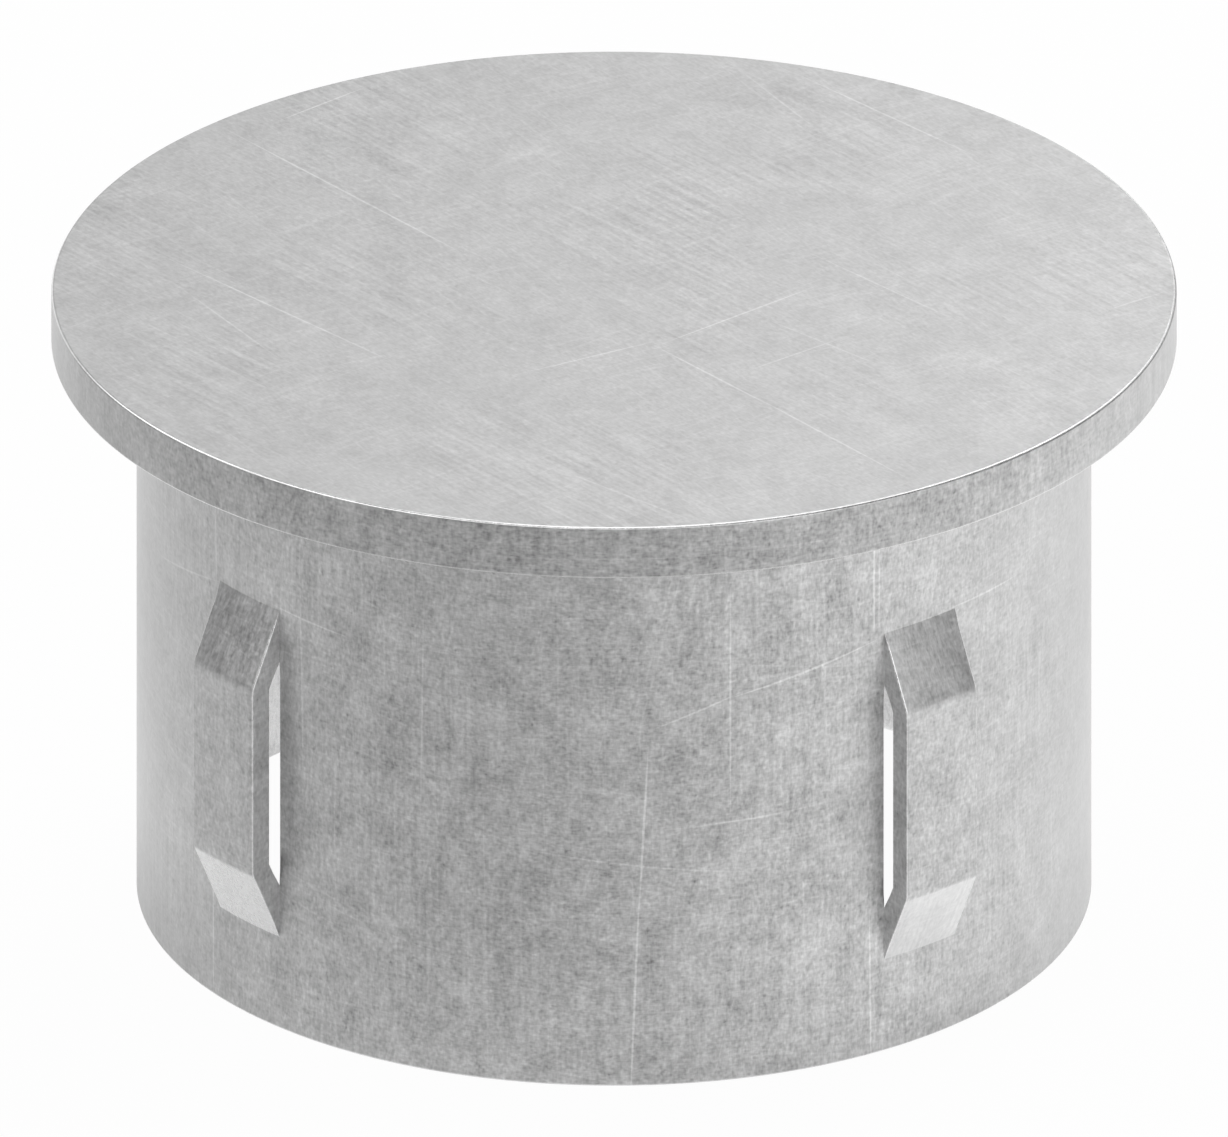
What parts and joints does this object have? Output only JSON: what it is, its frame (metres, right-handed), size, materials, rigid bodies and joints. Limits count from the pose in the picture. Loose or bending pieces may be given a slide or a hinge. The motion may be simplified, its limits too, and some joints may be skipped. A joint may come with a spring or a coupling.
{
  "type": "steel tube end cap",
  "caption": "Round steel cap that closes the end of a tube: a flat flange over a hollow collar, with pressed-out bridges that grip the tube's bore.",
  "frame": {"origin": "centre of the collar's open rim, which the cap stands on", "axes": "+Z along the collar's axis towards the flange's outer face; -Y, +X, +Y and -X point at the four bridges"},
  "size_m": [0.06, 0.06, 0.035],
  "materials": {
    "galvanised_steel": "dull galvanised, finely brushed, with light scratches"
  },
  "bodies": {
    "root": {"end_cap": "galvanised_steel"}
  },
  "joints": []
}
